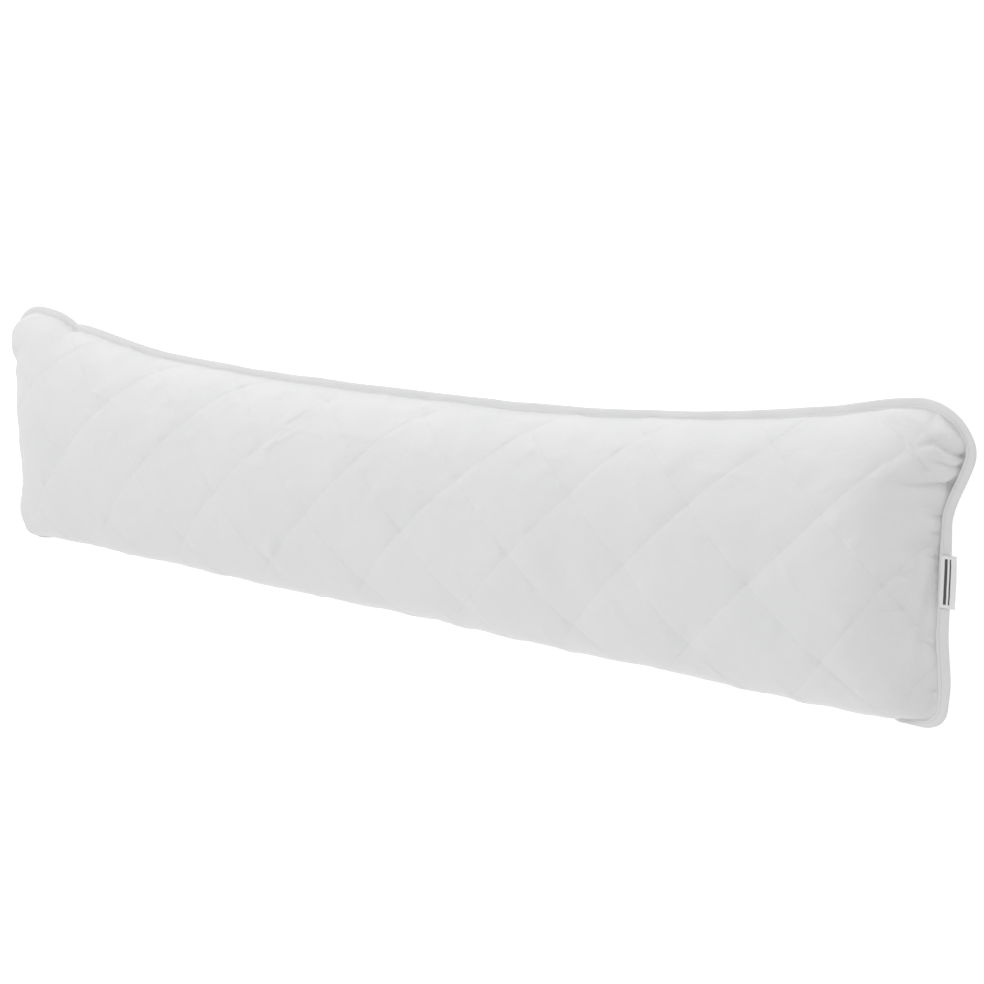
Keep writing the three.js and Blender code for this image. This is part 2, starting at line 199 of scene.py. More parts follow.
def quarter_angle(share, half_width, depth):
    """Angle from the crown at which a share of the quarter's length has been walked."""
    shape = np.broadcast(share, half_width, depth).shape
    share, half_width, depth = (np.broadcast_to(v, shape).ravel() for v in (share, half_width, depth))
    lengths = quarter_lengths(half_width, depth)
    target = np.minimum(np.abs(share), 1) * lengths[:, -1]
    i = np.clip((lengths < target[:, None]).sum(axis=1), 1, QUARTER_STEPS)
    rows = np.arange(len(i))
    below, above = lengths[rows, i - 1], lengths[rows, i]
    within = (target - below) / np.maximum(above - below, 1e-9)
    return ((i - 1 + within) / QUARTER_STEPS * math.pi / 2 * np.sign(share)).reshape(shape)


END_ARC = float(quarter_lengths(np.array(END_ROUNDING), np.array(MEAN_DEPTH))[-1])
HALF_LENGTH = {side: END_SEAM[side] - END_ROUNDING + END_ARC for side in END_SEAM}


def by_end(sizes, along):
    return np.where(along > 0, sizes["right"], sizes["left"])


def corner_cut(from_end, radius):
    """How much a round corner takes off a side, this far from the end of the other side."""
    inside = np.clip(radius - from_end, 0, radius)
    return radius - np.sqrt(radius * radius - inside * inside)


def round_corner(along, across, half_length, radius):
    """Moves points of the rectangular grid so that the grid ends in round corners."""
    beyond_x = (np.abs(along) - half_length + radius) / radius
    beyond_y = (np.abs(across) - HALF_HEIGHT + radius) / radius
    corner = (beyond_x > 0) & (beyond_y > 0)
    bx, by = np.where(corner, beyond_x, 0), np.where(corner, beyond_y, 0)
    round_x, round_y = bx * np.sqrt(1 - by * by / 2), by * np.sqrt(1 - bx * bx / 2)
    return (
        np.where(corner, np.sign(along) * (half_length - radius * (1 - round_x)), along),
        np.where(corner, np.sign(across) * (HALF_HEIGHT - radius * (1 - round_y)), across),
    )


def ear_at(along, across):
    """How far a corner sticks out past the middle of its end."""
    height = ramp(np.abs(across) / HALF_HEIGHT, EAR_START, EAR_FULL)
    return height * np.where(across > 0, by_end(UPPER_EAR, along), by_end(LOWER_EAR, along))


def flattened(height):
    curved = (height + FLATTENING) ** 2 / (4 * FLATTENING)
    return np.where(height > FLATTENING, height, np.where(height < -FLATTENING, 0, curved))


def smooth_panel(is_face, grid_x, grid_y):
    """Points of a panel over its flat cloth, and how far they are from the end and side seams."""
    half_length = by_end(HALF_LENGTH, grid_x)
    upper, lower = by_end(UPPER_RADIUS, grid_x), by_end(LOWER_RADIUS, grid_x)
    radius = np.where(grid_y > 0, upper, lower)
    along, across = round_corner(grid_x, grid_y, half_length, radius)
    cut_x = corner_cut(HALF_HEIGHT - np.abs(across), radius)
    upper_cut = corner_cut(half_length - np.abs(along), upper)
    lower_cut = corner_cut(half_length - np.abs(along), lower)
    cut_y = np.where(grid_y > 0, upper_cut, lower_cut)
    end_gap = np.maximum(half_length - cut_x - np.abs(along), 0)
    side_share = np.clip(across / (HALF_HEIGHT - cut_y), -1, 1)
    side_gap = (1 - np.abs(side_share)) * (HALF_HEIGHT - cut_y)

    end_share = 1 - np.minimum(end_gap / END_ARC, 1)
    end_angle = quarter_angle(end_share, np.array(END_ROUNDING), np.array(MEAN_DEPTH))
    end_depth = np.cos(end_angle)
    from_seam = END_ROUNDING * (1 - np.sin(end_angle)) + np.maximum(end_gap - END_ARC, 0)
    if is_face:
        pulled = end_gap / END_PULL_REACH * np.exp(1 - end_gap / END_PULL_REACH)
        low = 1 - ramp(grid_y, *LOW_PULL_ACROSS)
        from_seam = from_seam + (by_end(END_PULL, grid_x) + by_end(LOW_END_PULL, grid_x) * low) * pulled
    ear = ear_at(grid_x, across) * (1 - ramp(end_gap, 0, EAR_FADE))
    x = by_end(END_SIDE, grid_x) * (by_end(END_SEAM, grid_x) + ear - cut_x - from_seam)

    top = section_at(TOP, x) - upper_cut * CORNER_GATHER
    bottom = section_at(BOTTOM, x) + lower_cut * CORNER_GATHER
    half_height = (top - bottom) / 2
    crown = section_at(CROWN, x)
    depth = (crown if is_face else BACK_DEPTH) * end_depth
    rolled = SEAM_ROLL * side_share**2 * ramp(end_gap, ROLL_START, ROLL_FULL)
    roll = np.where(side_share < 0, rolled, 0)
    angle = quarter_angle(side_share, half_height, depth) + (-roll if is_face else roll)
    y = (top + bottom) / 2 + half_height * np.sin(angle)
    lift = np.cos(angle)
    in_corner = np.minimum(CORNER_ONSET * (1 - end_depth) * (1 - np.abs(lift)), 1)
    slack = ramp(grid_x, *SLACK_ALONG) * (1 - ramp(grid_y, *SLACK_ACROSS)) * is_face
    filled = (end_depth * np.abs(lift)) ** (1 - (CORNER_FULLNESS - LOW_RIGHT_SLACK * slack) * in_corner)
    low = flattened(SEAM_HEIGHT - BACK_DEPTH * filled)
    z = np.where(lift > 0, SEAM_HEIGHT + crown * filled, low) if is_face else low
    return np.stack([x, y, z], axis=-1), end_gap, side_gap


# Relief of the cloth


def blended_table(seed, x, y, ease):
    """Random values from -1 to 1 at whole numbers, blended between them."""
    size = 64
    table = np.random.default_rng(seed).uniform(-1, 1, (size, size))
    ix, iy = np.floor(x).astype(int), np.floor(y).astype(int)
    fx, fy = ease(x - ix), ease(y - iy)
    near = table[ix % size, iy % size] * (1 - fx) + table[(ix + 1) % size, iy % size] * fx
    far = table[ix % size, (iy + 1) % size] * (1 - fx) + table[(ix + 1) % size, (iy + 1) % size] * fx
    return near * (1 - fy) + far * fy


def eased(t):
    return t**3 * (t * (t * 6 - 15) + 10)


def noise(x, y, seed):
    """Smooth noise from -1 to 1 with one swing to each unit."""
    x, y = np.broadcast_arrays(x, y)
    return blended_table(seed, x, y, eased)


def wave(along, across, lengths, seed):
    long_x, slant_x, long_y, slant_y = lengths
    return noise(along / long_x + across / slant_x, across / long_y + along / slant_y, seed)


def from_line(value):
    """How far a line coordinate is from the nearest sewn line."""
    return np.abs(value - np.round(value))


def bell(distance):
    return np.maximum(1 - distance**2, 0) ** 2


def near_crossings(along, across):
    """How near each crossing is, how far its sewing has wandered and how deep it is drawn in."""
    for x, y, dx, dy, deep in CROSSINGS:
        yield np.exp(-((along - x) ** 2 + (across - y) ** 2) / (2 * DRIFT_REACH**2)), dx, dy, deep


def drifted(along, across):
    """Where the sewn grid really runs on the cloth: it wanders, and it is drawn askew at the ear."""
    weight, sum_x, sum_y = EVEN_WEIGHT, 0.0, 0.0
    for near, dx, dy, _ in near_crossings(along, across):
        weight, sum_x, sum_y = weight + near, sum_x + near * dx, sum_y + near * dy
    clear_side = ramp(HALF_HEIGHT - np.abs(across), 0, CLEAR_SIDE)
    clear_end = ramp(by_end(HALF_LENGTH, along) - np.abs(along), 0, CLEAR_END)
    shift_x = sum_x / weight * clear_side * clear_end
    shift_y = sum_y / weight * clear_side * clear_end
    edge = ramp(across, EDGE_SKEW_START, HALF_HEIGHT)
    shift_x -= EDGE_SKEW * edge * bell((along - EDGE_SKEW_X) / EDGE_SKEW_REACH)
    from_ear = np.hypot((along - EAR_SKEW_X) / EAR_SKEW_LENGTH, (across - EAR_SKEW_Y) / EAR_SKEW_HEIGHT)
    shift_y += EAR_SKEW * bell(from_ear)
    return along + shift_x, across + shift_y


def crossing_depth(along, across):
    weight, total = EVEN_WEIGHT, EVEN_WEIGHT * CROSSING_DEPTH
    for near, _, _, deep in near_crossings(along, across):
        weight, total = weight + near, total + near * deep
    return total / weight


def to_segment(along, across, x0, y0, x1, y1):
    """Distance to a straight piece of cloth, and the share of its length passed."""
    run_x, run_y = x1 - x0, y1 - y0
    t = np.clip(((along - x0) * run_x + (across - y0) * run_y) / (run_x**2 + run_y**2), 0, 1)
    return np.hypot(along - x0 - t * run_x, across - y0 - t * run_y), t


def fold_depth(along, across):
    depth = np.zeros(along.shape)
    for x0, y0, x1, y1, width, deep in FOLDS:
        away, t = to_segment(along, across, x0, y0, x1, y1)
        depth += deep * np.sin(t * math.pi * FOLD_TURN) * bell(np.minimum(away / width, 1))
    return depth


def quilting(grid_x, grid_y, shift):
    """Line coordinates of the two families of sewn lines: whole numbers lie on a line."""
    u = (grid_x - CROSSING_X) / PITCH_X - shift[0] / FINE_STEPS
    v = (grid_y - CROSSING_Y) / PITCH_Y - shift[1] / FINE_STEPS
    return u - v, u + v


def groove(distance, reach):
    return np.exp(-(np.hypot(distance, CHANNEL_FLOOR) - CHANNEL_FLOOR) / reach)


def crease_depth(along, across):
    """Sharp valleys between rounded lobes; the side towards higher numbers across may be wider."""
    depth = np.zeros(along.shape)
    for x0, y0, x1, y1, above, below, start, end in CREASES:
        away, t = to_segment(along, across, x0, y0, x1, y1)
        run_x, run_y = x1 - x0, y1 - y0
        ahead, beside = along - x0 - t * run_x, across - y0 - t * run_y
        up = beside * abs(run_x) - ahead * run_y * np.sign(run_x) > 0
        share = np.minimum(away / np.where(up, above, below), 1)
        valley = (1 - share) ** CREASE_SHARPNESS
        depth = np.maximum(depth, (start + (end - start) * t) * valley)
    return depth


def puffs(rising, falling):
    """Low puffs between the sewn lines."""
    off_r, off_f = from_line(rising), from_line(falling)
    return PUFF_HEIGHT * (np.sin(math.pi * off_r) * np.sin(math.pi * off_f)) ** PUFF_ROUNDNESS


def facets(rising, falling, seed):
    """Each crossing has its own height, and the cloth runs straight between them."""
    return blended_table(seed, rising, falling, lambda share: share)


def sewing_relief(rising, falling, deep, firm, seed):
    """The channels that the sewn lines leave and the puckers that the thread draws up."""
    near_r, near_f = from_line(rising) * LINE_SPACING, from_line(falling) * LINE_SPACING
    from_crossing = np.hypot(near_r, near_f)
    crossing = np.exp(-from_crossing / TIGHT_REACH)
    relief = -CROSSING_SINK * deep * np.exp(-from_crossing / CROSSING_SPREAD)
    for near, line, run, family in ((near_r, rising, falling, 0), (near_f, falling, rising, 40)):
        place = LINE_STEP * np.round(line)
        side = place + LINE_SIDE_STEP * np.sign(line - np.round(line))
        walked = run * LINE_SPACING
        pull = noise(walked / TIGHT_LENGTH, place, seed + family + 7)
        tight = firm * np.clip(TIGHT_MEAN + TIGHT_SWING * pull, 0, 1)
        relief -= (CHANNEL_DEPTH + TIGHT_DEPTH * tight) * groove(near, CHANNEL_REACH)
        drawn = noise(walked / PUCKER_LENGTH, side, seed + family)
        drawn = PUCKER_HEIGHT * tight * drawn * (1 + crossing)
        relief += drawn * np.exp(-near / PUCKER_REACH) * (1 - np.exp(-near / PUCKER_START))
        tug = np.maximum(noise(walked / TUG_LENGTH, side + 1.7, seed + family + 3), 0) ** 2
        relief += TUG_HEIGHT * tug * np.exp(-near / TUG_REACH) * (1 - np.exp(-near / TUG_START))
    return relief


def seam_relief(run, gap, side, pinch, pucker, seed):
    """The panel dips beside the binding and draws up into small puckers."""
    drawn = noise(run / DIP_LENGTH, side, seed)
    dip = gap / DIP_REACH * np.exp(1 - gap / DIP_REACH)
    relief = -pinch * dip * (1 + DIP_SWING * drawn)
    swell = np.exp(-gap / SWELL_REACH) * (1 - np.exp(-gap / SWELL_START))
    relief += pucker * noise(run / SWELL_LENGTH, gap / SWELL_DRIFT + side, seed + 1) * swell
    loose = np.exp(-gap / LOOSE_REACH) * (1 - np.exp(-gap / LOOSE_START))
    drawn = noise(run / LOOSE_LENGTH, gap / LOOSE_DRIFT + side, seed + 2)
    return relief + LOOSE_SHARE * pucker * drawn * loose


def seam_strain(along, across):
    """How hard the seam pulls, which also sets the painted shade beside it: most at the right ear and beside
    the label, hardly anywhere else.
    """
    at_right = ramp(along, *STRAIN_ALONG)
    at_label = bell(np.clip((across - LABEL_Y) / LABEL_REACH, -1, 1))
    strained = ramp(across, *STRAIN_EAR) + LABEL_STRAIN * at_label
    ease = 1 - STRAIN_EASE * ramp(across, *EASE_ACROSS)
    return STRAIN_REST + STRAIN_GAIN * at_right * np.minimum(strained, 1) * ease


def slack_relief(along, across, gap):
    """Loose cloth: the uneven start that the filling presses on."""
    loose = 0.35 * wave(along, across, SLACK_WAVE, 601)
    loose += 0.1 * wave(along, across, SLACK_FINE_WAVE, 602)
    return loose * ramp(gap, 0, 12)


def cloth_relief(is_face, grid_x, grid_y, along, across, end_gap, side_gap):
    """Height of the cloth over the smooth panel, in millimetres."""
    seed = 11 if is_face else 211
    gap = np.minimum(end_gap, side_gap)
    rising, falling = quilting(grid_x, grid_y, (0, 0) if is_face else BACK_SHIFT)
    firm = 0.55 + 0.45 * ramp(along, -350, 500)
    relief = sewing_relief(rising, falling, crossing_depth(along, across), firm, seed)
    relief = (relief + FACET_HEIGHT * facets(rising, falling, seed + 5)) * ramp(gap, 0, 24)
    if is_face and lifted is not None:
        relief += LIFT_SHARE * lifted
    else:
        relief += puffs(rising, falling) * ramp(gap, 0, 20) + slack_relief(along, across, gap)
    relief += 1.0 * wave(along, across, BROAD_WAVE, seed + 1)
    relief += 0.9 * (1 - np.abs(wave(along, across, RIDGE_WAVE, seed + 8))) ** 6
    relief += 0.45 * wave(along, across, CROSS_WAVE, seed + 9)
    relief += 0.07 * wave(along, across, FINE_WAVE, seed + 3)
    relief += seam_relief(along, side_gap, np.sign(across) * 9, 0.05, 0.3, seed + 20)
    end_pinch = 0.3 + 1.6 * seam_strain(along, across)
    relief += seam_relief(across, end_gap, np.sign(along) * 9, end_pinch, 0.45, seed + 30)
    if is_face:
        relief -= fold_depth(along, across) + crease_depth(along, across)
    return relief * ramp(gap, 0, 1.6)


def seam_sway(points, along, across, gap):
    """The seam isn't quite level or straight: it sways, and it is nicked beside the left ear."""
    near = np.exp(-gap / SWAY_REACH)
    points[..., 2] += SWAY_UP * noise(along / SWAY_UP_LENGTH, across / SWAY_UP_LENGTH, 301) * near
    points[..., 1] += SWAY_IN * noise(along / SWAY_IN_ALONG, across / SWAY_IN_ACROSS, 302) * near
    nick = np.exp(-(((points[..., 0] - NICK_X) / NICK_WIDTH) ** 2)) * (across > 0)
    points[..., 1] -= NICK_DEPTH * nick * near
    return points


# Meshes


def placed(name, data):
    made = bpy.data.objects.new(name, data)
    bpy.context.scene.collection.objects.link(made)
    return made


def new_piece(name, points, faces):
    """A mesh object from points in millimetres."""
    mesh = bpy.data.meshes.new(name)
    mesh.from_pydata((np.asarray(points) * MM).tolist(), [], [tuple(int(k) for k in f) for f in faces])
    mesh.update()
    mesh.shade_smooth()
    return placed(name, mesh)


def add_attribute(piece, name, values):
    """Stores a vector at each vertex, for the materials."""
    values = np.asarray(values, np.float32)
    attribute = piece.data.attributes.new(name, "FLOAT_VECTOR", "POINT")
    attribute.data.foreach_set("vector", values.ravel())


def grid_values(first, last, crossing, step):
    """The grid's lines run through the quilting's crossings, and its outermost ones are the seam."""
    low, high = math.ceil((first - crossing) / step + 0.4), math.floor((last - crossing) / step - 0.4)
    return np.array([first, *(crossing + step * np.arange(low, high + 1)), last])


def grid_lines(step):
    """Lines of a grid whose cells are this many fine steps wide."""
    xs = grid_values(-HALF_LENGTH["left"], HALF_LENGTH["right"], CROSSING_X, step * PITCH_X / FINE_STEPS)
    return xs, grid_values(-HALF_HEIGHT, HALF_HEIGHT, CROSSING_Y, step * PITCH_Y / FINE_STEPS)


def quads_of(at):
    return np.stack([at[:-1, :-1], at[1:, :-1], at[1:, 1:], at[:-1, 1:]], axis=-1)


columns, rows = grid_lines(1)

# The simulated sheet: its grid steps, its frames, and the heights taken from it, capped and scaled.
SHEET_STEP, SHEET_FRAMES, LIFT_CAP, LIFT_SHARE = 2, 20, 3.0, 2.5

PATTERN_SHIFT = 400.0


def panel_normals(points, is_face):
    normal = np.cross(np.gradient(points, axis=0), np.gradient(points, axis=1)) * (1 if is_face else -1)
    return normal / (np.linalg.norm(normal, axis=-1, keepdims=True) + 1e-9)


def lift_of_face(xs, ys):
    """Cloth simulation: how far the filling lifts the face, held at its seam and along its sewn lines."""
    grid_x, grid_y = np.meshgrid(xs, ys, indexing="ij")
    along, across = drifted(grid_x, grid_y)
    smooth, end_gap, side_gap = smooth_panel(True, along, across)
    gap = np.minimum(end_gap, side_gap)
    normal = panel_normals(smooth, True)
    at = np.arange(grid_x.size).reshape(grid_x.shape)
    start = smooth + normal * slack_relief(along, across, gap)[..., None]
    sheet = new_piece("sheet", start.reshape(-1, 3), quads_of(at).reshape(-1, 4))
    rising, falling = quilting(grid_x, grid_y, (0, 0))
    held = np.minimum(from_line(rising), from_line(falling)) < ON_LINE
    held[[0, -1], :] = held[:, [0, -1]] = True
    sheet.vertex_groups.new(name="held").add(at[held].tolist(), 1.0, "REPLACE")
    slack = ramp(0.5 + 0.9 * noise(along / 14 + 3, across / 14, 603), 0, 1)
    slack_group = sheet.vertex_groups.new(name="slack")
    for index, share in zip(at.ravel().tolist(), slack.ravel().tolist()):
        slack_group.add([index], share, "REPLACE")
    cloth = sheet.modifiers.new("cloth", "CLOTH")
    settings = cloth.settings
    settings.quality, settings.mass = 5, 0.3
    settings.tension_stiffness = settings.compression_stiffness = 30
    settings.shear_stiffness, settings.bending_stiffness = 15, 8
    settings.use_pressure, settings.uniform_pressure_force = True, 45
    settings.vertex_group_mass, settings.vertex_group_shrink = "held", "slack"
    settings.shrink_min, settings.shrink_max = 0.0, -0.003
    settings.effector_weights.gravity = 0
    cloth.collision_settings.use_collision = False
    cloth.point_cache.frame_start, cloth.point_cache.frame_end = 1, SHEET_FRAMES
    for step in range(1, SHEET_FRAMES + 1):
        bpy.context.scene.frame_set(step)
    moved = np.empty(grid_x.size * 3, np.float32)
    sheet.evaluated_get(bpy.context.evaluated_depsgraph_get()).data.vertices.foreach_get("co", moved)
    sheet_mesh = sheet.data
    bpy.data.objects.remove(sheet)
    bpy.data.meshes.remove(sheet_mesh)
    bpy.context.scene.frame_set(1)
    lift = ((moved.reshape(smooth.shape) / MM - smooth) * normal).sum(axis=-1)
    return np.clip(lift, -LIFT_CAP, LIFT_CAP)


def refined(values, xs, ys):
    """Carries values from the simulated sheet's grid to the cover's finer one."""
    values = np.stack([np.interp(columns, xs, values[:, j]) for j in range(len(ys))], axis=1)
    values = np.stack([np.interp(rows, ys, values[i]) for i in range(len(columns))])
    values[1:-1] = (values[:-2] + 2 * values[1:-1] + values[2:]) / 4
    values[:, 1:-1] = (values[:, :-2] + 2 * values[:, 1:-1] + values[:, 2:]) / 4
    return values


lifted = None
sheet_grid = grid_lines(SHEET_STEP)
lifted = refined(lift_of_face(*sheet_grid), *sheet_grid)


def dressed_panel(is_face, xs, ys):
    """Points of a panel with its relief, its cloth coordinates, its gaps and its line values."""
    grid_x, grid_y = np.meshgrid(xs, ys, indexing="ij")
    along, across = drifted(grid_x, grid_y)
    smooth, end_gap, side_gap = smooth_panel(is_face, along, across)
    gap = np.minimum(end_gap, side_gap)
    smooth = seam_sway(smooth, along, across, gap)
    normal = panel_normals(smooth, is_face)
    relief = cloth_relief(is_face, grid_x, grid_y, along, across, end_gap, side_gap)
    points = smooth + normal * relief[..., None]
    points[..., 2] = np.maximum(points[..., 2], 0)
    rising, falling = quilting(grid_x, grid_y, (0, 0) if is_face else BACK_SHIFT)
    line_gap = np.minimum(from_line(rising), from_line(falling)) * LINE_SPACING
    pattern = np.full(along.shape, 0.0 if is_face else PATTERN_SHIFT)
    cloth = np.stack([along, across, pattern], axis=-1) * MM
    # The third value, the seam's strain, also sets how strong the painted shade beside the seam is.
    gaps = np.stack([line_gap * MM, gap * MM, seam_strain(along, across)], axis=-1)
    return points, cloth, gaps, (rising, falling)


def build_cover():
    face = dressed_panel(True, columns, rows)
    back = dressed_panel(False, columns[::2], rows[::2])
    n, m = len(columns), len(rows)
    at_face = np.arange(n * m).reshape(n, m)
    bn, bm = len(columns[::2]), len(rows[::2])
    inner = np.zeros((bn, bm), bool)
    inner[1:-1, 1:-1] = True
    at_back = at_face[::2, ::2].copy()
    at_back[inner] = n * m + np.arange(inner.sum())

    def stacked(k):
        return joined([face[k].reshape(n * m, -1), back[k][inner].reshape(inner.sum(), -1)])

    faces = []
    off_r, off_f = (from_line(line) for line in face[3])
    mean_r = (off_r[:-1, :-1] + off_r[1:, 1:]) / 2
    mean_f = (off_f[1:, :-1] + off_f[:-1, 1:]) / 2
    quads = quads_of(at_face)
    up = mean_r < mean_f
    up[0, 0] = up[-1, -1] = True
    up[-1, 0] = up[0, -1] = False
    for a, b, c, d in quads[up].tolist():
        faces += [(a, b, c), (a, c, d)]
    for a, b, c, d in quads[~up].tolist():
        faces += [(a, b, d), (b, c, d)]
    for i in range(bn - 1):
        for j in range(bm - 1):
            ring = [at_back[i, j], at_back[i, j + 1], at_back[i + 1, j + 1], at_back[i + 1, j]]
            if i == 0:
                ring.insert(1, at_face[0, 2 * j + 1])
            if j == bm - 2:
                ring.insert(ring.index(at_back[i + 1, j + 1]), at_face[2 * i + 1, m - 1])
            if i == bn - 2:
                ring.insert(ring.index(at_back[i + 1, j]), at_face[n - 1, 2 * j + 1])
            if j == 0:
                ring.append(at_face[2 * i + 1, 0])
            faces.append(ring)
    piece = new_piece("quilted_cover", stacked(0), faces)
    add_attribute(piece, "cloth", stacked(1))
    add_attribute(piece, "gaps", stacked(2))
    return piece, (at_face, face), (at_back, back)


cover, face_grid, back_grid = build_cover()


# Edge binding: a tape folded over the seam all round


def seam_order(at):
    """The seam's vertices in order, anticlockwise from above."""
    return joined([at[:-1, 0], at[-1, :-1], at[:0:-1, -1], at[0, :0:-1]])


def unit(vectors):
    return vectors / (np.linalg.norm(vectors, axis=-1, keepdims=True) + 1e-12)


def smoothed(values, times):
    for _ in range(times):
        values = (np.roll(values, 1, axis=0) + 2 * values + np.roll(values, -1, axis=0)) / 4
    return values


def binding_frames(loop):
    """Outward and upward direction of the tape at each point of the seam, and the length walked."""
    tangent = unit(smoothed(np.roll(loop, -1, axis=0) - np.roll(loop, 1, axis=0), 6))
    level = unit(np.stack([tangent[:, 1], -tangent[:, 0], np.zeros(len(loop))], axis=-1))
    drop = np.clip((SEAM_HEIGHT - smoothed(loop[:, 2], 12)) / BACK_DEPTH, -0.2, 0.9)
    half_height = (section_at(TOP, loop[:, 0]) - section_at(BOTTOM, loop[:, 0])) / 2
    lean = np.arctan2(drop * half_height, np.sqrt(1 - drop**2) * BACK_DEPTH)[:, None]
    out = level * np.cos(lean)
    out[:, 2] -= np.sin(lean[:, 0])
    up = -unit(np.cross(tangent, out))
    steps = np.linalg.norm(np.roll(loop, -1, axis=0) - loop, axis=-1)
    return out, up, joined([[0], np.cumsum(steps)[:-1]])


# Half thickness of the tape across its width, in millimetres: pinched at the stitching, round at the fold.
TAPE_SHARES = np.array([-0.14, 0.0, 0.1, 0.17, 0.22, 0.28, 0.38, 0.5, 0.62, 0.74, 0.84, 0.92, 0.97, 1.0])
TAPE_HALVES = np.array([0.9, 1.25, 1.3, 1.15, 0.98, 1.15, 1.35, 1.45, 1.5, 1.45, 1.32, 1.05, 0.7, 0.0])
SEWN_SHARE = 0.21


def build_binding(loop):
    out, up, walked = binding_frames(loop)
    x, y = loop[:, 0], loop[:, 1]
    width = BINDING_WIDTH * (1 + WIDTH_SWING * noise(walked / WIDTH_LENGTH, 0, 401))
    for added, spans_x, spans_y in WIDTH_CHANGES:
        for span in spans_x:
            added = added * ramp(x, *span)
        for span in spans_y:
            added = added * ramp(y, *span)
        width += added
    lift = TAPE_LIFT * noise(walked / TAPE_LIFT_LENGTH, 3, 402)
    rim = []
    for side in (1, -1):
        shares = TAPE_SHARES if side == 1 else TAPE_SHARES[-2::-1]
        for share in shares:
            thick = np.interp(share, TAPE_SHARES, TAPE_HALVES)
            from_sewing = math.exp(-abs(share - SEWN_SHARE) / TAPE_PUCKER_REACH)
            drawn = noise(walked / TAPE_PUCKER_LENGTH, side * 5, 403) * from_sewing
            slack = noise(walked / SLACK_LENGTH, side * 8 + share * 1.5, 404)
            body = min(max(share, 0) * 3, 1) * math.sqrt(max(1 - share, 0))
            thick = thick + TAPE_PUCKER * drawn * min(1, 4 * (1 - share)) + TAPE_SLACK * slack * body
            height = side * thick + lift * max(share, 0)
            place = loop + out * (width * share)[:, None] + up * height[:, None]
            rim.append((place, side * (1.15 - share)))
    ring = len(rim)
    points = np.stack([place for place, _ in rim], axis=1).reshape(-1, 3)
    faces = []
    count = len(loop)
    for k in range(count):
        here, there = k * ring, (k + 1) % count * ring
        for s in range(ring):
            t = (s + 1) % ring
            faces.append((here + t, there + t, there + s, here + s))
    piece = new_piece("edge_tape", points, faces)
    flat = np.stack([
        np.repeat(walked, ring), np.tile([r[1] * BINDING_WIDTH for r in rim], count), np.zeros(count * ring),
    ], axis=-1)
    add_attribute(piece, "cloth", flat * MM)
    return piece, (loop, out, up, walked, width, lift)


seam = seam_order(face_grid[0])
seam_points = np.array([v.co for v in cover.data.vertices])[seam] / MM
tape, tape_path = build_binding(seam_points)


# Thread


# Rings of a stitch: share of its length, rise and thickness in radii of the thread.
STITCH_RINGS = ((0.14, 0.10, 0.8), (0.5, 0.62, 1.0), (0.86, 0.10, 0.8))


def build_threads(name, stitches, radius, sink):
    """Each stitch is a short thread, bowed outwards, its ends drawn into the cloth."""
    starts, ends, normals = (np.asarray(part) for part in stitches)
    ahead = unit(ends - starts)
    side = unit(np.cross(normals, ahead))
    points = [starts - normals * sink]
    for share, rise, thick in STITCH_RINGS:
        middle = starts * (1 - share) + ends * share + normals * radius * rise
        for out_share, side_share in ((1, 0), (0, 1), (-1, 0), (0, -1)):
            points.append(middle + (normals * out_share + side * side_share) * radius * thick)
    points.append(ends - normals * sink)
    per = len(points)
    last = per - 1
    pattern = [(0, 1 + k, 1 + (k + 1) % 4) for k in range(4)]
    for ring in range(len(STITCH_RINGS) - 1):
        base = 1 + 4 * ring
        pattern += [(base + k, base + 4 + k, base + 4 + (k + 1) % 4, base + (k + 1) % 4) for k in range(4)]
    base = 1 + 4 * (len(STITCH_RINGS) - 1)
    pattern += [(last, base + (k + 1) % 4, base + k) for k in range(4)]
    points = np.stack(points, axis=1).reshape(-1, 3)
    faces = [tuple(i + per * s for i in face) for s in range(len(starts)) for face in pattern]
    piece = new_piece(name, points, faces)
    across = joined([[0], *[[share] * 4 for share, _, _ in STITCH_RINGS], [1]])
    cloth = np.zeros((len(points), 3))
    cloth[:, 0] = np.tile(across, len(starts)) * 3 + np.repeat(np.arange(len(starts)), per) * 3.7
    add_attribute(piece, "cloth", cloth * MM)
    return piece


def quilting_stitches(at, line_values, parts):
    """Runs along the grid's diagonals that lie on a sewn line, one or two stitches to a cell."""
    starts, ends, normals = [], [], []
    co = np.array([v.co for v in cover.data.vertices]) / MM
    n = np.array([v.normal for v in cover.data.vertices])
    n_i, n_j = at.shape
    inside = np.zeros((n_i, n_j), bool)
    inside[1:-1, 1:-1] = True
    for line, di, dj in ((line_values[0], 1, 1), (line_values[1], 1, -1)):
        on_line = (from_line(line) < ON_LINE) & inside
        i, j = np.nonzero(on_line)
        keep = (i + di < n_i - 1) & (j + dj < n_j - 1) & (j + dj > 0)
        i, j = i[keep], j[keep]
        a, b = at[i, j], at[i + di, j + dj]
        for part in range(parts):
            from_share, to_share = (part + 0.1) / parts, (part + 0.9) / parts
            starts.append(co[a] * (1 - from_share) + co[b] * from_share)
            ends.append(co[a] * (1 - to_share) + co[b] * to_share)
            normals.append(unit(n[a] + n[b]))
    return tuple(joined(part) for part in (starts, ends, normals))


def clear_of_floor(stitches, height):
    """Leaves out what the pillow lies on."""
    keep = np.minimum(stitches[0][:, 2], stitches[1][:, 2]) > height
    return tuple(part[keep] for part in stitches)


on_face = quilting_stitches(face_grid[0], face_grid[1][3], 1)
on_back = clear_of_floor(quilting_stitches(back_grid[0], back_grid[1][3], 2), 1.2)
quilting_thread = build_threads(
    "quilting_thread", tuple(joined(pair) for pair in zip(on_face, on_back)), 0.2, 0.25)


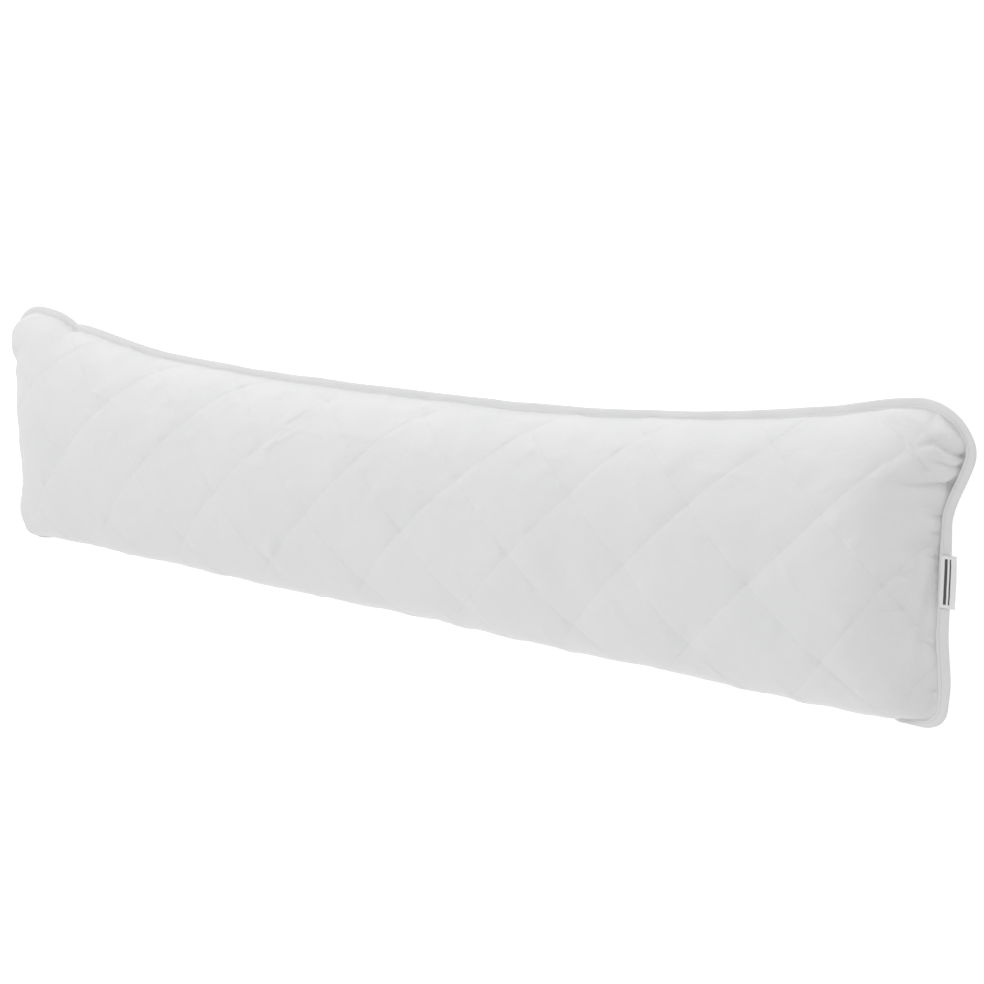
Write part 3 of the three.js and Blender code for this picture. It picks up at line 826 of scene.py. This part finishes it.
def binding_stitches(path, pitch, share_of_pitch):
    loop, out, up, walked, width, lift = path
    total = walked[-1] + np.linalg.norm(loop[0] - loop[-1])
    count = int(total / pitch)
    marks = np.append(walked, total)

    def at_length(values, where):
        closed = joined([values, values[:1]])
        return np.stack([np.interp(where, marks, closed[:, k]) for k in range(closed.shape[1])], axis=-1)

    starts, ends, normals = [], [], []
    from_length = np.arange(count) * total / count
    to_length = from_length + share_of_pitch * total / count
    half = float(np.interp(SEWN_SHARE, TAPE_SHARES, TAPE_HALVES))
    for side in (1, -1):
        drawn = noise(walked / TAPE_PUCKER_LENGTH, side * 5, 403)
        height = side * (half + TAPE_PUCKER * drawn) + lift * SEWN_SHARE
        line = loop + out * (width * SEWN_SHARE)[:, None] + up * height[:, None]
        starts.append(at_length(line, from_length))
        ends.append(at_length(line, to_length))
        normals.append(unit(at_length(up, from_length)) * side)
    return tuple(joined(part) for part in (starts, ends, normals))


tape_thread = build_threads("edge_thread", binding_stitches(tape_path, 3.0, 0.8), 0.26, 0.3)


# Side label: a tape folded once, both ends sewn in


def build_label():
    low, high = (np.array(corner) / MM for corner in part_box("side_label"))
    layer, steps_along, steps_fold, steps_flat = 0.42, 44, 7, 14
    middle = (low[2] + high[2]) / 2
    bend = (high[2] - low[2]) / 2 - layer / 2
    start, fold = low[0], high[0] - bend - layer / 2
    path = [(x, middle + bend) for x in np.linspace(start, fold, steps_flat)]
    for k in range(1, steps_fold):
        turn = math.pi * k / steps_fold
        path.append((fold + bend * math.sin(turn), middle + bend * math.cos(turn)))
    path += [(x, middle - bend) for x in np.linspace(fold, start, steps_flat)]
    path = np.array(path)
    tangent = unit(np.gradient(path, axis=0))
    sideways = np.stack([-tangent[:, 1], tangent[:, 0]], axis=-1)
    outline = joined([path + sideways * layer / 2, (path - sideways * layer / 2)[::-1]])
    walked = joined([[0], np.cumsum(np.linalg.norm(np.diff(path, axis=0), axis=-1))])
    walked = joined([walked, walked[::-1]])
    outer = joined([np.ones(len(path)), np.zeros(len(path))])
    ring = len(outline)
    points, cloth = [], []
    for y in np.linspace(low[1], high[1], steps_along + 1):
        share = (y - low[1]) / (high[1] - low[1])
        reach = np.clip((outline[:, 0] - start) / (high[0] - start), 0, 1)
        curl = 0.9 * (2 * share - 1) ** 2 * reach**2 - 0.5 * reach**2 * math.sin(share * 5 + 0.6)
        wave = 0.12 * math.sin(share * 19) * reach
        selvedge = 1 - 0.25 * math.exp(-min(share, 1 - share) * 60)
        height = middle + (outline[:, 1] - middle) * selvedge + curl + wave
        edge = 0.35 * reach * noise(np.array(share * 9), 0, 501)
        x = outline[:, 0] + edge
        points.append(np.stack([x, np.full(ring, y) + 0.5 * reach, height], axis=-1))
        cloth.append(np.stack([walked, np.full(ring, y - low[1]), outer], axis=-1))
    points, cloth = joined(points), joined(cloth)
    faces = []
    for k in range(steps_along):
        here, there = k * ring, (k + 1) * ring
        for s in range(ring):
            t = (s + 1) % ring
            faces.append((here + s, here + t, there + t, there + s))
    half_ring = ring // 2
    for base, ahead in ((0, True), (steps_along * ring, False)):
        for s in range(half_ring - 1):
            quad = [base + s, base + s + 1, base + ring - 2 - s, base + ring - 1 - s]
            faces.append(tuple(quad if ahead else quad[::-1]))
    piece = new_piece("label_tape", points, faces)
    add_attribute(piece, "cloth", cloth * MM)
    return piece


label = build_label()


# Materials


# Colours, and the periods of the woven threads in metres.
COVER_SHADES = (0.775, 0.777, 0.780, 1), (0.800, 0.800, 0.798, 1)
# The second colour on the next line is the grey of the cover's painted shade, laid beside the seam and along
# the sewn lines.
COVER_SLUB, COVER_PAINTED_SHADE = (0.745, 0.747, 0.750, 1), (0.42, 0.42, 0.425, 1)
TAPE_SHADES = (0.765, 0.767, 0.770, 1), (0.795, 0.795, 0.795, 1)
TAPE_RIB, TAPE_EDGE = (0.68, 0.68, 0.685, 1), (0.83, 0.83, 0.828, 1)
LABEL_SHADES = (0.80, 0.80, 0.80, 1), (0.87, 0.87, 0.865, 1)
LABEL_INKS = (0.05, 0.05, 0.055, 1), (0.11, 0.11, 0.115, 1)
FLOOR_SHADES = (0.93, 0.93, 0.93, 1), (0.95, 0.95, 0.95, 1)
WEAVE_PERIOD, RIB_PERIOD, SATIN_PERIOD = 0.0009, 0.0011, 0.0007
LABEL_STRIPES, STRIPE_EDGE, FRAY = ((0.0062, 0.0016), (0.0108, 0.0008)), 0.0001, 0.0003


class Shader:
    """A node material, built from sockets and numbers."""

    def __init__(self, name):
        self.material = bpy.data.materials.new(name)
        self.material.use_nodes = True
        self.tree = self.material.node_tree
        self.tree.nodes.clear()

    def node(self, kind, inputs=(), **settings):
        made = self.tree.nodes.new("ShaderNode" + kind)
        for key, value in settings.items():
            setattr(made, key, value)
        for key, value in dict(inputs).items():
            if isinstance(value, bpy.types.NodeSocket):
                self.tree.links.new(value, made.inputs[key])
            else:
                made.inputs[key].default_value = value
        return made

    def math(self, operation, *values):
        return self.node("Math", enumerate(values), operation=operation).outputs[0]

    def attribute(self, name):
        return self.node("Attribute", attribute_name=name).outputs["Vector"]

    def scaled(self, vector, scale):
        return self.node("VectorMath", {0: vector, 1: scale}, operation="MULTIPLY").outputs[0]

    def noise(self, vector, scale, detail=2.0, roughness=0.5):
        inputs = {"Vector": vector, "Scale": scale, "Detail": detail, "Roughness": roughness}
        return self.node("TexNoise", inputs).outputs["Fac"]

    def to_range(self, value, low, high, start=0.0, end=1.0):
        inputs = {"Value": value, "From Min": start, "From Max": end, "To Min": low, "To Max": high}
        return self.node("MapRange", inputs).outputs["Result"]

    def mixed(self, share, first, second):
        inputs = {"Factor": share, 6: first, 7: second}
        return self.node("Mix", inputs, data_type="RGBA").outputs[2]

    def bump(self, height, distance, strength=1.0, normal=None):
        inputs = {"Height": height, "Distance": distance, "Strength": strength}
        if normal is not None:
            inputs["Normal"] = normal
        return self.node("Bump", inputs).outputs["Normal"]

    def finish(self, base, rough, **inputs):
        named = {key.replace("_", " "): value for key, value in inputs.items()}
        surface = self.node("BsdfPrincipled", {"Base Color": base, "Roughness": rough, **named})
        output = self.node("OutputMaterial")
        self.tree.links.new(surface.outputs[0], output.inputs["Surface"])
        return self.material


def plain_weave(mat, cloth, period):
    """Height of crossing threads that pass over and under each other."""
    turn = 2 * math.pi / period
    parts = mat.node("SeparateXYZ", {0: mat.scaled(cloth, (turn, turn, turn))})
    along = mat.math("SINE", parts.outputs[0])
    across = mat.math("SINE", parts.outputs[1])
    return mat.math("MULTIPLY_ADD", mat.math("MULTIPLY", along, across), 0.5, 0.5)


def cover_material():
    mat = Shader("quilted_cloth")
    cloth = mat.attribute("cloth")
    gaps = mat.node("SeparateXYZ", {0: mat.attribute("gaps")})
    # Painted shade: the colour is drawn towards grey beside the seam, most where the seam is strained, and
    # faintly along the sewn lines. It stands for the shade in the crease and in the channels.
    thread_pull_and_shade = mat.to_range(gaps.outputs[0], 1, 0, 0, 0.0026)
    thread_pull_and_shade = mat.math("POWER", thread_pull_and_shade, 1.6)
    seam_crease_shade = mat.math("MULTIPLY", mat.to_range(gaps.outputs[1], 1, 0, 0, 0.0036), gaps.outputs[2])
    faint_channel_shade = mat.math("MULTIPLY", thread_pull_and_shade, 0.004)
    painted_shade = mat.math("MAXIMUM", faint_channel_shade, mat.math("POWER", seam_crease_shade, 1.5))
    cloudy = mat.noise(cloth, 9, detail=3)
    slubs = mat.noise(mat.scaled(cloth, (60, 900, 1)), 1, detail=2)
    crumple = mat.noise(cloth, 85, detail=4, roughness=0.55)
    weave = plain_weave(mat, cloth, WEAVE_PERIOD)
    base = mat.mixed(mat.to_range(cloudy, 0, 1, start=0.3, end=0.7), *COVER_SHADES)
    base = mat.mixed(mat.to_range(slubs, 0, 0.22, start=0.45, end=0.75), base, COVER_SLUB)
    # The painted shade goes into the base colour here.
    base = mat.mixed(mat.math("MULTIPLY", painted_shade, 0.75), base, COVER_PAINTED_SHADE)
    rough = mat.math("MULTIPLY_ADD", crumple, 0.12, 0.78)
    rough = mat.math("MULTIPLY_ADD", painted_shade, 0.06, rough)
    normal = mat.bump(weave, 0.00005)
    normal = mat.bump(slubs, 0.00004, normal=normal)
    normal = mat.bump(mat.math("MULTIPLY", thread_pull_and_shade, -1.0), 0.00004, normal=normal)
    normal = mat.bump(crumple, 0.0007, strength=0.8, normal=normal)
    return mat.finish(
        base, rough, Normal=normal, Sheen_Weight=0.06, Sheen_Roughness=0.5, Specular_IOR_Level=0.2)


def thread_material(name, colour):
    mat = Shader(name)
    cloth = mat.attribute("cloth")
    twist = mat.node("TexWave", {"Vector": cloth, "Scale": 900.0, "Distortion": 1.5},
                        wave_type="BANDS", bands_direction="X").outputs["Fac"]
    fuzz = mat.noise(cloth, 2500, 2)
    base = mat.mixed(twist, tuple(0.88 * c for c in colour) + (1,), colour + (1,))
    rough = mat.to_range(fuzz, 0.5, 0.7)
    normal = mat.bump(twist, 0.00006)
    return mat.finish(base, rough, Normal=normal, Sheen_Weight=0.1, Specular_IOR_Level=0.4)


def tape_material():
    mat = Shader("binding_cloth")
    cloth = mat.attribute("cloth")
    parts = mat.node("SeparateXYZ", {0: cloth})
    slant = mat.math("MULTIPLY_ADD", parts.outputs[1], 0.55, parts.outputs[0])
    ribs = mat.math("SINE", mat.math("MULTIPLY", slant, 2 * math.pi / RIB_PERIOD))
    ribs = mat.math("MULTIPLY_ADD", ribs, 0.5, 0.5)
    cloudy = mat.noise(cloth, 30, detail=3)
    crumple = mat.noise(mat.scaled(cloth, (150, 60, 60)), 1, 3)
    edge = mat.to_range(mat.math("ABSOLUTE", parts.outputs[1]), 1, 0, 0.0012, 0.0028)
    base = mat.mixed(mat.to_range(cloudy, 0, 1, start=0.3, end=0.7), *TAPE_SHADES)
    base = mat.mixed(mat.math("MULTIPLY", ribs, 0.16), base, TAPE_RIB)
    base = mat.mixed(mat.math("MULTIPLY", edge, 0.35), base, TAPE_EDGE)
    rough = mat.math("MULTIPLY_ADD", crumple, 0.15, 0.68)
    normal = mat.bump(ribs, 0.00007)
    normal = mat.bump(crumple, 0.0005, strength=0.8, normal=normal)
    return mat.finish(
        base, rough, Normal=normal, Sheen_Weight=0.15, Sheen_Roughness=0.5, Specular_IOR_Level=0.3)


def label_material():
    """White satin tape with two plain woven stripes down its length."""
    mat = Shader("label_tape")
    cloth = mat.attribute("cloth")
    parts = mat.node("SeparateXYZ", {0: cloth})
    across, along, outer = parts.outputs
    threads = mat.math("SINE", mat.math("MULTIPLY", along, 2 * math.pi / SATIN_PERIOD))
    threads = mat.math("MULTIPLY_ADD", threads, 0.5, 0.5)
    fray = mat.noise(mat.scaled(cloth, (200, 1500, 1)), 1, 2)
    wander = mat.math("MULTIPLY_ADD", fray, FRAY, across)
    stripes = None
    for centre, half in LABEL_STRIPES:
        away = mat.math("ABSOLUTE", mat.math("SUBTRACT", wander, centre + FRAY / 2))
        stripe = mat.to_range(away, 1, 0, half - STRIPE_EDGE, half + STRIPE_EDGE)
        stripes = stripe if stripes is None else mat.math("MAXIMUM", stripes, stripe)
    begun = mat.to_range(along, 0, 1, start=0.0035, end=0.0037)
    ended = mat.to_range(along, 1, 0, start=0.0493, end=0.0495)
    stripes = mat.math("MULTIPLY", stripes, mat.math("MULTIPLY", begun, ended))
    stripes = mat.math("MULTIPLY", stripes, mat.math("GREATER_THAN", outer, MM / 2))
    base = mat.mixed(fray, *LABEL_SHADES)
    ink = mat.mixed(threads, *LABEL_INKS)
    base = mat.mixed(stripes, base, ink)
    rough = mat.math("MULTIPLY_ADD", fray, 0.2, 0.42)
    normal = mat.bump(threads, 0.00005)
    normal = mat.bump(fray, 0.00005, normal=normal)
    return mat.finish(base, rough, Normal=normal, Specular_IOR_Level=0.4, Sheen_Weight=0.1)


COATS = (
    (cover, "quilted_cloth", cover_material()),
    (quilting_thread, "quilted_cloth", thread_material("quilting_thread", (0.90, 0.90, 0.90))),
    (tape, "binding_cloth", tape_material()),
    (tape_thread, "binding_cloth", thread_material("edge_thread", (0.82, 0.82, 0.82))),
    (label, "label_tape", label_material()),
)
for piece, slot, material in COATS:
    piece.data.materials.append(material)
    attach(piece, "root")
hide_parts("pillow")
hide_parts("edge_binding")
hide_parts("side_label")


# Floor, light and camera


FLOOR_REACH, FLOOR_LEVEL, FLOOR_GLOW, WORLD_GLOW = 30.0, -0.0004, 0.39, 0.547

# Lights: name, place, size and power. All aim at the same point.
LIGHT_AIM = (0.0, 0.0, 0.05)
LIGHTS = (
    ("side_light", (-3.0, 0.6, 2.2), 2.2, 29.0),
    ("back_light", (0.0, 2.4, 2.4), 2.0, 28.8),
    ("low_light", (0.3, -2.8, 0.8), 1.8, 17.7),
    ("right_light", (1.6, 0.2, 2.8), 2.0, 6.1),
)


def build_floor():
    mesh = bpy.data.meshes.new("floor")
    turns = ((-1, -1), (1, -1), (1, 1), (-1, 1))
    corners = [(x * FLOOR_REACH, y * FLOOR_REACH, FLOOR_LEVEL) for x, y in turns]
    mesh.from_pydata(corners, [], [(0, 1, 2, 3)])
    floor = placed("floor", mesh)
    mat = Shader("floor_paper")
    place = mat.node("TexCoord").outputs["Object"]
    grain = mat.noise(place, 3, detail=4)
    base = mat.mixed(grain, *FLOOR_SHADES)
    mesh.materials.append(mat.finish(
        base, mat.to_range(grain, 0.85, 0.95), Specular_IOR_Level=0.1,
        Emission_Color=(1, 1, 1, 1), Emission_Strength=FLOOR_GLOW))


def area_light(name, place, size, power):
    light = bpy.data.lights.new(name, "AREA")
    light.shape = "DISK"
    light.size, light.energy = size, power
    lamp = placed(name, light)
    lamp.location = place
    aim = Vector(LIGHT_AIM) - Vector(place)
    lamp.rotation_euler = aim.to_track_quat("-Z", "Y").to_euler()


build_floor()
for row in LIGHTS:
    area_light(*row)

world = bpy.data.worlds.new("studio")
bpy.context.scene.world = world
world.use_nodes = True
world.node_tree.nodes["Background"].inputs["Color"].default_value = (1.0, 1.0, 1.0, 1)
world.node_tree.nodes["Background"].inputs["Strength"].default_value = WORLD_GLOW

settings = bpy.context.scene.view_settings
settings.view_transform = "Standard"
settings.look = "None"

CAMERA_PLACE = (1.589311, 0.475039, 1.863801)
CAMERA_AXES = (
    (0.775054, -0.126272, 0.619150),
    (0.000456, 0.979942, 0.199282),
    (-0.631895, -0.154172, 0.759565),
)
FOCAL_PIXELS, IMAGE_PIXELS, SENSOR_MM = 2063.67, 984, 36.0

camera_data = bpy.data.cameras.new("camera")
camera_data.sensor_width = SENSOR_MM
camera_data.lens = SENSOR_MM * FOCAL_PIXELS / IMAGE_PIXELS
camera_data.clip_end = 100
camera = placed("camera", camera_data)
camera.matrix_world = Matrix.Translation(CAMERA_PLACE) @ Matrix(CAMERA_AXES).to_4x4()
bpy.context.scene.camera = camera
